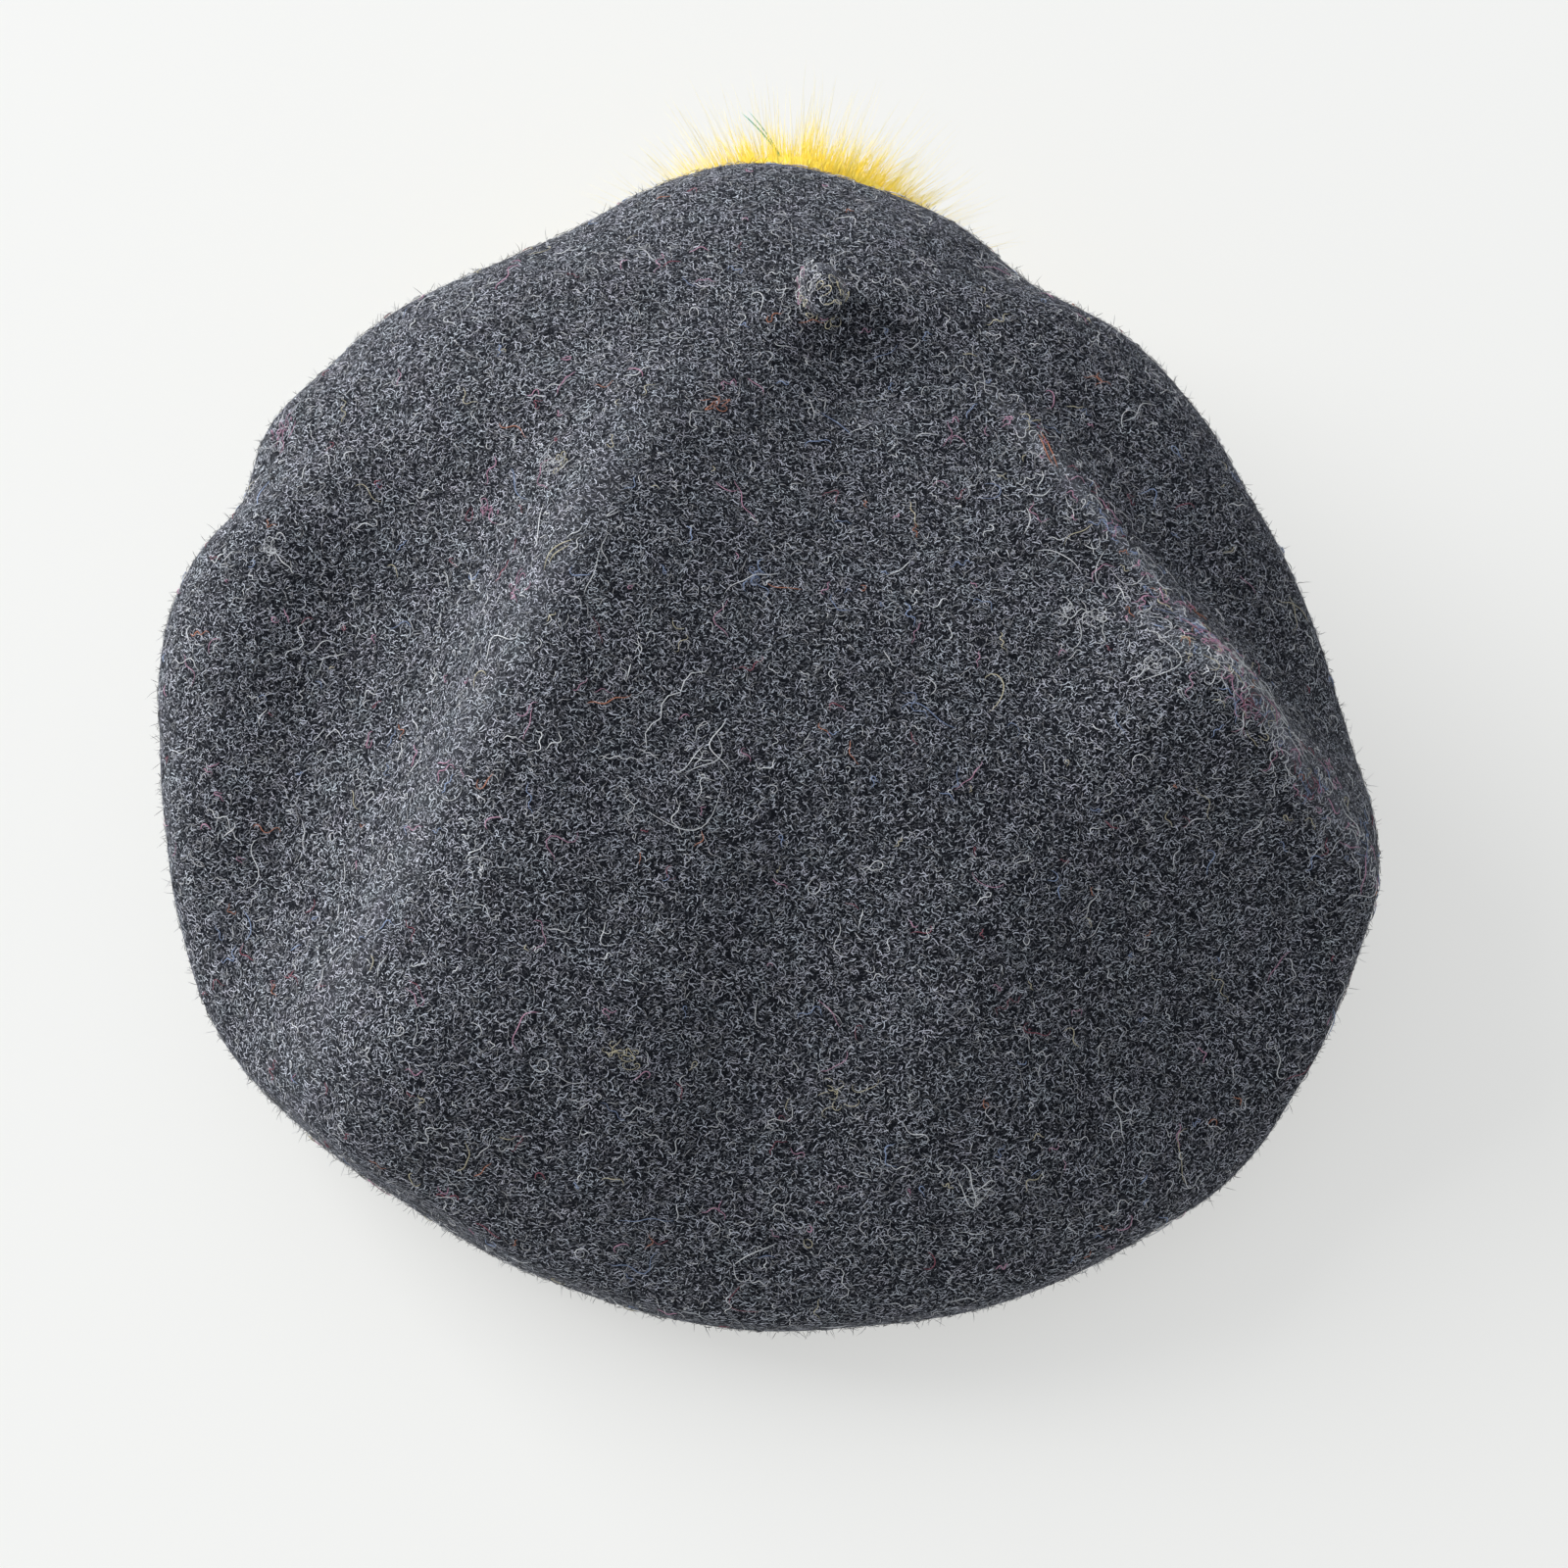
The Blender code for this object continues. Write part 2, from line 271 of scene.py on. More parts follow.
# Both faces as one closed skin, from the stalk's place round the rim and back to it inside
top = felt_face(0, 0)
felt_points = np.concatenate([
    top[None], outer.reshape(-1, 3), inner[::-1].reshape(-1, 3), top[None] - [[0, 0, FELT_THICKNESS]],
])
felt_faces = ring_quads(len(outer_runs) + len(inner_runs), BEARINGS, 1).tolist()
last = len(felt_points) - 1
for side in range(BEARINGS):
    beside = (side + 1) % BEARINGS
    felt_faces.append((0, 1 + side, 1 + beside))
    felt_faces.append((last, last - BEARINGS + beside, last - BEARINGS + side))
felt = smooth_piece("felt_crown", felt_points, felt_faces)


def along_fold(there, name, wide):
    """How close each place is to a fold's crest, from 0 to 1."""
    fold = next(row for row in FOLDS if row.place == name)
    start = np.array([fold.start_x, fold.start_y]) * CROWN_WIDTH / 2 + [MIDDLE_X, MIDDLE_Y]
    line = np.array([fold.end_x, fold.end_y]) * CROWN_WIDTH / 2 + [MIDDLE_X, MIDDLE_Y] - start
    off = ((there[:, 1] - start[1]) * line[0] - (there[:, 0] - start[0]) * line[1]) / np.linalg.norm(line)
    along = ((there[:, :2] - start) @ line) / (line @ line)
    return np.exp(-((off / wide) ** 2)) * ease(along * 3) * ease((1 - along) * 3) * (there[:, 2] > UNDERSIDE)


# Folds whose crests are painted paler, partly rubbed nap and partly a painted highlight where light
# catches the crest: how wide the pale strip is, and how strongly it is paled
WornAndHighlight = namedtuple("WornAndHighlight", "fold wide share")
WORN_AND_HIGHLIGHT = [
    WornAndHighlight("right ridge", 1.7 * MM, 1.0),
    WornAndHighlight("right ridge foot", 1.7 * MM, 1.0),
    WornAndHighlight("left main ridge", 4.0 * MM, 0.35),
]
# The pale crests, partly rubbed nap and partly painted highlight, as a value on each point of the felt
wear_and_highlight = felt.data.attributes.new("wear_and_highlight", "FLOAT", "POINT")
worn_and_highlight = sum(row.share * along_fold(felt_points, row.fold, row.wide) for row in WORN_AND_HIGHLIGHT)
wear_and_highlight.data.foreach_set("value", worn_and_highlight.astype(np.float32))


def linear(hex_colour):
    """sRGB hex to linear red, green, blue and alpha."""
    parts = [int(hex_colour[i : i + 2], 16) / 255 for i in (1, 3, 5)]
    return (*[p / 12.92 if p <= 0.04045 else ((p + 0.055) / 1.055) ** 2.4 for p in parts], 1)


def node(tree, kind, settings=None, links=None):
    """Adds a node. A setting goes to the socket of that name, or else to the node, and links join sockets."""
    made = tree.nodes.new(kind)
    for name, value in (settings or {}).items():
        if isinstance(name, int) or name in made.inputs:
            made.inputs[name].default_value = value
        else:
            setattr(made, name, value)
    for name, source in (links or {}).items():
        tree.links.new(source, made.inputs[name])
    return made


def new_material(name):
    """An empty node material, with its tree and its Principled shader."""
    material = bpy.data.materials.new(name)
    material.use_nodes = True
    tree = material.node_tree
    return material, tree, tree.nodes["Principled BSDF"]


# The nap's direction on the felt, in radians: by the stalk, and from this far out
NAP_BY_STALK = -0.8
NAP_FAR_OUT = 0.12
NAP_TURN_REACH = 70 * MM

# How far a drawn hair may stray from the nap's direction, in radians, and how strongly it may bend
HAIR_STRAY = 1.35
HAIR_BEND = 1.6

# Layers of drawn hairs: millimetres apart, half as thick in millimetres, and how rare the bright ones are.
# Real ones are a tenth as thick, so they are drawn coarser, as the photo's own pixels show them.
HairLayer = namedtuple("HairLayer", "apart thick rare")
HAIR_LAYERS = [
    HairLayer(0.80, 0.100, 2.8),
    HairLayer(1.10, 0.120, 3.0),
    HairLayer(0.60, 0.085, 3.0),
]


def short_fibres(tree, place, apart, thick, slant, rare, seed):
    """Short bent hairs scattered over the face, one to a cell: how bright a hair shows at each place."""
    shift = (seed, seed * 0.7, -seed)
    shifted = node(tree, "ShaderNodeVectorMath", {"operation": "ADD", 1: shift}, {0: place})
    cell = node(tree, "ShaderNodeTexVoronoi", {"Scale": 1 / apart}, {"Vector": shifted.outputs[0]})
    chances = node(tree, "ShaderNodeSeparateColor", {}, {0: cell.outputs["Color"]})
    off = node(
        tree, "ShaderNodeVectorMath", {"operation": "SUBTRACT"},
        {0: shifted.outputs[0], 1: cell.outputs["Position"]},
    )

    # Each hair's own direction, and the direction beside it on the felt
    stray = node(
        tree, "ShaderNodeMapRange", {"To Min": -HAIR_STRAY, "To Max": HAIR_STRAY},
        {"Value": chances.outputs[0]},
    )
    angle = node(tree, "ShaderNodeMath", {"operation": "ADD"}, {0: stray.outputs[0], 1: slant})
    east = node(tree, "ShaderNodeMath", {"operation": "COSINE"}, {0: angle.outputs[0]})
    north = node(tree, "ShaderNodeMath", {"operation": "SINE"}, {0: angle.outputs[0]})
    way = node(tree, "ShaderNodeCombineXYZ", {}, {0: east.outputs[0], 1: north.outputs[0]})
    upright = node(tree, "ShaderNodeNewGeometry").outputs["Normal"]
    beside = node(
        tree, "ShaderNodeVectorMath", {"operation": "CROSS_PRODUCT"}, {0: upright, 1: way.outputs[0]}
    )
    aside = node(tree, "ShaderNodeVectorMath", {"operation": "NORMALIZE"}, {0: beside.outputs[0]})

    # How far along and across the hair the place is, with the hair bent like a bow
    along = node(
        tree, "ShaderNodeVectorMath", {"operation": "DOT_PRODUCT"}, {0: off.outputs[0], 1: way.outputs[0]}
    ).outputs["Value"]
    across = node(
        tree, "ShaderNodeVectorMath", {"operation": "DOT_PRODUCT"}, {0: off.outputs[0], 1: aside.outputs[0]}
    ).outputs["Value"]
    square = node(tree, "ShaderNodeMath", {"operation": "MULTIPLY"}, {0: along, 1: along})
    bend = node(
        tree, "ShaderNodeMapRange", {"To Min": -HAIR_BEND / apart, "To Max": HAIR_BEND / apart},
        {"Value": chances.outputs[1]},
    )
    bent = node(
        tree, "ShaderNodeMath", {"operation": "MULTIPLY_ADD"},
        {0: square.outputs[0], 1: bend.outputs[0], 2: across},
    )
    near = node(tree, "ShaderNodeMath", {"operation": "ABSOLUTE"}, {0: bent.outputs[0]})
    line = node(
        tree, "ShaderNodeMapRange",
        {"From Min": 0.3 * thick, "From Max": thick, "To Min": 1.0, "To Max": 0.0},
        {"Value": near.outputs[0]},
    )
    tone = node(tree, "ShaderNodeMath", {"operation": "POWER", 1: rare}, {0: chances.outputs[2]})
    bright = node(tree, "ShaderNodeMath", {"operation": "MULTIPLY"}, {0: line.outputs[0], 1: tone.outputs[0]})
    return bright.outputs[0]


# Fulled wool, dyed near black with a little navy. It gives the eye a dark ground under a web of short
# light hairs about a millimetre apart, paler on crests, partly rubbed nap and partly a painted highlight
# where light catches them, with a soft sheen along the nap and no gloss.
fulled_wool, tree, shader = new_material("fulled_wool")
place = node(tree, "ShaderNodeTexCoord").outputs["Object"]
from_stalk = node(tree, "ShaderNodeVectorMath", {"operation": "DISTANCE", 1: tuple(top)}, {0: place})
slant = node(
    tree, "ShaderNodeMapRange", {"From Max": NAP_TURN_REACH, "To Min": NAP_BY_STALK, "To Max": NAP_FAR_OUT},
    {"Value": from_stalk.outputs["Value"]},
).outputs[0]
hairs = None
for number, layer in enumerate(HAIR_LAYERS):
    seed = 0.31 + 0.17 * number
    strand = short_fibres(tree, place, layer.apart * MM, layer.thick * MM, slant, layer.rare, seed)
    if hairs is None:
        hairs = strand
    else:
        hairs = node(tree, "ShaderNodeMath", {"operation": "MAXIMUM"}, {0: hairs, 1: strand}).outputs[0]
ground = node(tree, "ShaderNodeTexNoise", {"Scale": 70.0, "Detail": 4.0}, {"Vector": place})
ground_colour = node(
    tree, "ShaderNodeMix", {"data_type": "RGBA", 6: linear("#0F1116"), 7: linear("#181B22")},
    {0: ground.outputs["Fac"]},
)
tuft = node(tree, "ShaderNodeTexNoise", {"Scale": 190.0, "Detail": 2.0}, {"Vector": place})
hair_colour = node(
    tree, "ShaderNodeMix", {"data_type": "RGBA", "blend_type": "OVERLAY", 0: 0.32, 6: linear("#E8ECF7")},
    {7: tuft.outputs["Color"]},
)
# Pale crests: rubbed nap, with a painted highlight along them where light catches the crest
rubbed_and_highlight = node(tree, "ShaderNodeAttribute", {"attribute_name": "wear_and_highlight"})
cover = node(
    tree, "ShaderNodeMath", {"operation": "MULTIPLY_ADD", 1: 0.10}, {0: rubbed_and_highlight.outputs["Fac"], 2: hairs}
)
mixed = node(
    tree, "ShaderNodeMix", {"data_type": "RGBA"},
    {0: cover.outputs[0], 6: ground_colour.outputs[2], 7: hair_colour.outputs[2]},
)
tree.links.new(mixed.outputs[2], shader.inputs["Base Color"])
shader.inputs["Roughness"].default_value = 0.95
shader.inputs["Specular IOR Level"].default_value = 0.10
shader.inputs["IOR"].default_value = 1.55
shader.inputs["Sheen Weight"].default_value = 0.09
shader.inputs["Sheen Roughness"].default_value = 0.5
shader.inputs["Sheen Tint"].default_value = linear("#9AA0B4")
grain = node(tree, "ShaderNodeTexNoise", {"Scale": 1500.0, "Detail": 2.0}, {"Vector": place})
relief = node(
    tree, "ShaderNodeBump", {"Strength": 0.9, "Distance": 0.35 * MM}, {"Height": grain.outputs["Fac"]}
)
tree.links.new(relief.outputs[0], shader.inputs["Normal"])
felt.data.materials.append(fulled_wool)
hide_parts("felt_shell")
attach(felt, "root")

# Nap
#
# Loose ends of the felt's own wool: short curls that lie on the face, and finer hairs that stand off it
# and blur the outline. They are part of the felt, spread evenly over its face.

# Nothing grows lower than this, so that no hair is pressed under the felt
LOWEST_ROOT = 2.5 * MM

skin = outer.reshape(-1, 3)
skin_outward = outward.reshape(-1, 3)
skin_quads = ring_quads(len(outer_runs), BEARINGS, 0)
skin_triangles = np.concatenate([skin_quads[:, [0, 1, 2]], skin_quads[:, [0, 2, 3]]])
felt_tree = BVHTree.FromPolygons(skin.tolist(), skin_triangles.tolist())


def roots_on_felt(chance, count, weight=None):
    """Random places on the outer face and the outward direction there, by area and by weight of the place."""
    corners = skin[skin_triangles]
    share = np.linalg.norm(np.cross(corners[:, 1] - corners[:, 0], corners[:, 2] - corners[:, 0]), axis=1)
    middle = corners.mean(axis=1)
    share = share * (middle[:, 2] > LOWEST_ROOT)
    if weight is not None:
        share = share * weight(middle)
    picked = chance.choice(len(share), count, p=share / share.sum())
    part = chance.dirichlet([1, 1, 1], count)[..., None]
    there = (skin[skin_triangles[picked]] * part).sum(axis=1)
    return there, unit((skin_outward[skin_triangles[picked]] * part).sum(axis=1))


def rough_outward(paths):
    """Rough outward direction of the felt, away from a point low inside the crown."""
    return unit(paths - np.array([MIDDLE_X, MIDDLE_Y, 20 * MM]))


def onto_felt(paths, height):
    """Moves each point of the paths to a height above the felt."""
    flat = paths.reshape(-1, 3)
    laid = np.empty_like(flat)
    away = np.empty_like(flat)
    for i, point in enumerate(flat.tolist()):
        laid[i], away[i], _, _ = felt_tree.find_nearest(point)
    away = away.reshape(paths.shape)
    facing = np.sign((away * rough_outward(paths)).sum(axis=-1, keepdims=True))
    return laid.reshape(paths.shape) + away * facing * height[..., None]


# Hairs are steered from this direction, which no hair grows in
STEERING = [0.02, 0.97, 0.25]


def wander(chance, roots, away, length, turn, waves, sway, stops, spread=math.pi):
    """Paths that set off along the felt, within a spread of the nap's own direction, and bend as they go."""
    count = len(roots)
    share = np.linspace(0, 1, stops)[None, :]
    far = np.linalg.norm(roots - top, axis=1)[:, None]
    nap = np.interp(far, [0, NAP_TURN_REACH], [NAP_BY_STALK, NAP_FAR_OUT])
    heading = nap + chance.uniform(-spread, spread, (count, 1))
    phase = chance.uniform(0, 2 * math.pi, (count, 1))
    swing = np.sin(waves[:, None] * share * 2 * math.pi + phase)
    angle = heading + turn[:, None] * share + sway[:, None] * swing
    east = unit(np.cross(STEERING, away))[:, None, :]
    north = np.cross(away[:, None, :], east)
    steps = np.cos(angle)[..., None] * east + np.sin(angle)[..., None] * north
    steps = steps * (length / (stops - 1))[:, None, None]
    steps[:, 0] = 0
    return roots[:, None, :] + np.cumsum(steps, axis=1)


def fibre_piece(name, paths, half_width, guide, kinds=None):
    """
    One object of closed three-sided fibres, pointed at both ends. half_width is per point of each path,
    guide sets which way the three sides face, and kinds picks each fibre's material.
    """
    count, stops, _ = paths.shape
    along = unit(np.gradient(paths, axis=1))
    across = unit(np.cross(along, guide[:, None, :]))
    upright = np.cross(along, across)
    angles = np.arange(3) * 2 * math.pi / 3
    rim = np.cos(angles)[:, None] * across[:, :, None, :] + np.sin(angles)[:, None] * upright[:, :, None, :]
    tube = paths[:, :, None, :] + rim * half_width[:, :, None, None]
    points = np.concatenate([paths[:, :1], tube[:, 1:-1].reshape(count, -1, 3), paths[:, -1:]], axis=1)
    each = points.shape[1]
    one = []
    for a, b in ((0, 1), (1, 2), (2, 0)):
        one.append((0, 1 + b, 1 + a))
        for ring in range(stops - 3):
            near = 1 + 3 * ring
            one.append((near + a, near + b, near + 3 + b))
            one.append((near + a, near + 3 + b, near + 3 + a))
        one.append((each - 4 + a, each - 4 + b, each - 1))
    faces = (np.arange(count)[:, None, None] * each + np.array(one)[None]).reshape(-1, 3)
    mesh = bpy.data.meshes.new(name)
    mesh.vertices.add(count * each)
    mesh.vertices.foreach_set("co", points.astype(np.float32).ravel())
    mesh.loops.add(faces.size)
    mesh.loops.foreach_set("vertex_index", faces.astype(np.int32).ravel())
    mesh.polygons.add(len(faces))
    mesh.polygons.foreach_set("loop_start", np.arange(0, faces.size, 3, dtype=np.int32))
    if kinds is not None:
        mesh.polygons.foreach_set("material_index", np.repeat(kinds, len(one)).astype(np.int32))
    mesh.update(calc_edges=True)
    mesh.shade_smooth()
    piece = bpy.data.objects.new(name, mesh)
    bpy.context.scene.collection.objects.link(piece)
    return piece


def taper(stops, thick, count):
    """Half widths along a fibre that is thickest a third of the way along."""
    share = np.linspace(0, 1, stops)
    return np.outer(thick, 0.35 + 0.65 * np.sin(math.pi * share**0.8)) * np.ones((count, 1))


chance = np.random.default_rng(11)

# Curls that lie on the face along the nap
CURLS = 16000
CURL_STOPS = 4
roots, away = roots_on_felt(chance, CURLS)
paths = wander(
    chance, roots, away,
    length=chance.uniform(1.4, 3.4, CURLS) * MM,
    turn=chance.normal(0, 1.8, CURLS),
    waves=chance.uniform(0.5, 1.2, CURLS),
    sway=chance.uniform(0.1, 0.9, CURLS),
    stops=CURL_STOPS,
    spread=1.1,
)
# Height of a curl's points above the face: its ends sink in
arch = np.array([-0.08, 0.22, 0.26, -0.04]) * MM
paths = onto_felt(paths, arch[None, :] * chance.uniform(0.5, 1.4, (CURLS, 1)))
widths = taper(CURL_STOPS, chance.uniform(0.045, 0.08, CURLS) * MM, CURLS)
curls = fibre_piece("nap_curls", paths, widths, away)

# Longer loops, in any direction
LOOPS = 2500
LOOP_STOPS = 8
roots, away = roots_on_felt(chance, LOOPS)
paths = wander(
    chance, roots, away,
    length=chance.uniform(2.0, 5.0, LOOPS) * MM,
    turn=chance.choice([-1, 1], LOOPS) * chance.uniform(1.0, 5.0, LOOPS),
    waves=chance.uniform(0.5, 1.6, LOOPS),
    sway=chance.uniform(0.2, 1.0, LOOPS),
    stops=LOOP_STOPS,
)
swell = np.sin(math.pi * np.linspace(0, 1, LOOP_STOPS))[None, :]
paths = onto_felt(paths, (0.05 + chance.uniform(0.1, 0.45, (LOOPS, 1)) * swell) * MM)
widths = taper(LOOP_STOPS, chance.uniform(0.05, 0.10, LOOPS) * MM, LOOPS)
loops = fibre_piece("nap_loops", paths, widths, away)

# Fine hairs that stand off the face
FUZZ = 15000
FUZZ_STOPS = 4
LONGEST_FUZZ = 3.5 * MM
ROOT_DEPTH = 0.1 * MM
roots, away = roots_on_felt(chance, FUZZ)
lean = unit(np.cross(away, chance.normal(size=(FUZZ, 3))))
tilt = chance.uniform(0.3, 1.25, (FUZZ, 1))
length = np.minimum(chance.gamma(5, 0.32, (FUZZ, 1)) * MM, LONGEST_FUZZ)[:, None, :]
share = np.linspace(0, 1, FUZZ_STOPS)[None, :, None]
straight = (away * np.cos(tilt) + lean * np.sin(tilt))[:, None, :] * share
hook = (unit(np.cross(away, lean)) * chance.normal(0, 0.3, (FUZZ, 1)))[:, None, :] * share**2
paths = roots[:, None, :] - away[:, None, :] * ROOT_DEPTH + (straight + hook) * length
paths[..., 2] = np.maximum(paths[..., 2], 0.15 * MM)
widths = taper(FUZZ_STOPS, chance.uniform(0.035, 0.065, FUZZ) * MM, FUZZ)
fuzz = fibre_piece("nap_fuzz", paths, widths, lean)

# Single wool hairs, the dye worn thin on them: lighter than the ground, a little sheen, no gloss.
wool_hair, tree, shader = new_material("wool_hair")
hair = node(tree, "ShaderNodeNewGeometry")
few = node(tree, "ShaderNodeMath", {"operation": "POWER", 1: 2.4}, {0: hair.outputs["Random Per Island"]})
tint = node(
    tree, "ShaderNodeMix", {"data_type": "RGBA", 6: linear("#14161B"), 7: linear("#F4F5F7")},
    {0: few.outputs[0]},
)
tree.links.new(tint.outputs[2], shader.inputs["Base Color"])
shader.inputs["Roughness"].default_value = 0.8
shader.inputs["Specular IOR Level"].default_value = 0.3
shader.inputs["IOR"].default_value = 1.55
shader.inputs["Sheen Weight"].default_value = 0.2
for nap in (curls, loops, fuzz):
    nap.data.materials.append(wool_hair)
    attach(nap, "root")

# Lint
#
# Stray fibres of other cloth that cling to the felt: pale, pink, maroon, blue, olive and orange curls, a
# few long ones that lie in loops, thickest along the right ridge, where the beret has been handled.

Lint = namedtuple("Lint", "name colour share")
LINT = [
    Lint("pale_lint", "#F2F4F6", 0.56),
    Lint("grey_blue_lint", "#9FB2D6", 0.12),
    Lint("pink_lint", "#D6A2BC", 0.13),
    Lint("maroon_lint", "#9C5A68", 0.08),
    Lint("olive_lint", "#DCD4B6", 0.07),
    Lint("orange_lint", "#CC8A6E", 0.04),
]

# Single threads that stand out, from end to end in plan, as shares of half the crown's width. Bow is how
# far the middle swings to the left, as a share of the length, wiggle is in millimetres and kind is a row
# of the lint table.
Thread = namedtuple("Thread", "place start_x start_y end_x end_y bow wiggle waves kind")
THREADS = [
    Thread("middle long", -0.082, -0.074, -0.191, -0.213, -0.10, 0.8, 3.5, 0),
    Thread("middle cross", -0.255, -0.215, -0.185, -0.218, 0.03, 0.3, 3.0, 0),
    Thread("middle second", -0.058, -0.152, -0.052, -0.235, -0.30, 0.6, 1.5, 0),
    Thread("big arc", -0.182, -0.288, -0.062, -0.240, -0.42, 0.1, 1.0, 0),
    Thread("red-brown", -0.273, -0.139, -0.203, -0.122, -0.05, 0.3, 2.0, 5),
    Thread("short bar", -0.205, -0.079, -0.212, -0.105, 0.0, 0.0, 1.0, 0),
    Thread("olive sprig", -0.342, 0.066, -0.293, 0.111, 0.22, 0.1, 1.0, 4),
    Thread("olive sprig side", -0.335, 0.075, -0.300, 0.104, 0.10, 0.2, 1.0, 4),
    Thread("small ring", -0.226, 0.162, -0.222, 0.156, -3.6, 0.0, 1.0, 0),
    Thread("orange ring", -0.082, 0.362, -0.077, 0.356, -2.6, 0.2, 2.0, 5),
    Thread("orange ring side", -0.071, 0.356, -0.076, 0.363, -2.2, 0.3, 2.0, 5),
    Thread("left curl", -0.381, -0.027, -0.437, -0.045, -0.25, 1.2, 1.3, 0),
    Thread("right wavy", 0.396, 0.248, 0.453, 0.275, 0.05, 0.6, 3.5, 0),
    Thread("orange straight", 0.438, 0.352, 0.466, 0.280, 0.02, 0.0, 1.0, 5),
    Thread("orange straight side", 0.434, 0.345, 0.460, 0.284, -0.02, 0.1, 1.0, 5),
    Thread("right bend", 0.412, 0.213, 0.407, 0.166, 0.18, 0.1, 1.0, 0),
    Thread("right bow", 0.425, 0.139, 0.498, 0.101, 0.20, 0.2, 1.5, 0),
    Thread("hook", 0.574, -0.088, 0.600, -0.002, -0.62, 0.3, 1.5, 0),
    Thread("hook foot", 0.560, -0.090, 0.612, -0.072, 0.15, 0.4, 2.0, 0),
    Thread("ridge pale", 0.742, -0.042, 0.827, -0.086, 0.05, 0.5, 2.5, 0),
    Thread("ridge pink", 0.704, -0.065, 0.746, -0.158, 0.08, 0.7, 2.0, 2),
    Thread("ridge mauve", 0.640, 0.030, 0.735, -0.030, 0.10, 0.5, 2.5, 2),
    Thread("left sprig", -0.804, 0.214, -0.766, 0.176, 0.10, 0.3, 1.5, 0),
    Thread("left hair", -0.901, -0.170, -0.850, -0.202, 0.10, 0.6, 2.0, 0),
    Thread("low loop", 0.293, -0.758, 0.352, -0.766, -0.50, 0.4, 1.5, 0),
    Thread("low loop tail", 0.300, -0.742, 0.318, -0.800, 0.20, 0.4, 1.5, 0),
    Thread("low straight", -0.050, -0.868, 0.020, -0.840, 0.04, 0.1, 1.0, 0),
    Thread("low olive", -0.216, -0.630, -0.194, -0.622, 0.5, 0.5, 2.0, 4),
]

# Tangles of short curls: where they lie, how far they reach in millimetres and how many hairs they hold
Tangle = namedtuple("Tangle", "place x y reach hairs kind")
TANGLES = [
    Tangle("orange ring", -0.077, 0.360, 1.8, 5, 5),
    Tangle("cream patch", -0.334, 0.269, 3.2, 16, 0),
    Tangle("cream patch olive", -0.320, 0.262, 2.8, 7, 4),
    Tangle("mauve left", -0.439, 0.229, 2.5, 9, 2),
    Tangle("pink left", -0.388, 0.050, 3.4, 10, 2),
    Tangle("left sprig head", -0.800, 0.222, 1.6, 16, 0),
    Tangle("pink silhouette", -0.812, 0.462, 3.2, 18, 2),
    Tangle("right clump", 0.473, 0.036, 1.8, 12, 0),
    Tangle("right clump tail", 0.515, 0.022, 2.0, 10, 0),
    Tangle("hook tuft", 0.596, -0.060, 2.0, 12, 0),
    Tangle("ridge blue", 0.671, 0.022, 3.0, 10, 1),
    Tangle("ridge mauve tuft", 0.700, -0.020, 3.4, 12, 2),
    Tangle("ridge pale tuft", 0.735, -0.052, 3.2, 12, 0),
    Tangle("ridge pink tuft", 0.742, -0.125, 3.0, 10, 2),
    Tangle("ridge end", 0.900, -0.130, 4.0, 10, 2),
    Tangle("low tangle", 0.325, -0.772, 2.8, 14, 0),
    Tangle("low olive tangle", -0.205, -0.626, 2.6, 9, 4),
    Tangle("low cream", 0.112, -0.657, 2.8, 9, 4),
    Tangle("blue spot", -0.010, 0.060, 1.6, 10, 1),
]


# Rays down to the felt start this high, and a place beside the felt takes the nearest from mid height
RAY_START = 200 * MM
MID_HEIGHT = 50 * MM


def crown_places(shares):
    """Points on the felt over places in plan, which are shares of half the crown's width."""
    flat = np.asarray(shares, float).reshape(-1, 2) * CROWN_WIDTH / 2 + [MIDDLE_X, MIDDLE_Y]
    found = []
    for x, y in flat.tolist():
        spot = felt_tree.ray_cast((x, y, RAY_START), (0, 0, -1))[0]
        found.append(spot if spot is not None else felt_tree.find_nearest((x, y, MID_HEIGHT))[0])
    return np.array(found).reshape(*np.shape(shares)[:-1], 3)


LINT_COUNT = 1900
LINT_STOPS = 12
RIDGE_LINT = 14
RIDGE_LINT_REACH = 3.5 * MM
UPWARD = np.array([0.0, 0.0, 1.0])


def near_right_ridge(there):
    """More lint along the right ridge, and none under the edge."""
    close = along_fold(there, "right ridge", RIDGE_LINT_REACH)
    close = close + along_fold(there, "right ridge foot", RIDGE_LINT_REACH)
    return (1 + RIDGE_LINT * close) * (there[:, 2] > UNDERSIDE)


# Scattered lint
share = np.linspace(0, 1, LINT_STOPS)[None, :]
swell = np.sin(math.pi * share)
roots, guides = roots_on_felt(chance, LINT_COUNT, near_right_ridge)
paths = wander(
    chance, roots, guides,
    length=np.minimum(chance.gamma(2.6, 1.5, LINT_COUNT) + 1.2, 17) * MM,
    turn=chance.normal(0, 2.6, LINT_COUNT),
    waves=chance.uniform(0.6, 2.6, LINT_COUNT),
    sway=chance.uniform(0.2, 1.4, LINT_COUNT),
    stops=LINT_STOPS,
)
paths = onto_felt(paths, (0.05 + chance.uniform(0.15, 0.5, (LINT_COUNT, 1)) * swell) * MM)
kinds = chance.choice(len(LINT), LINT_COUNT, p=[kind.share for kind in LINT])
widths = chance.uniform(0.07, 0.13, LINT_COUNT)

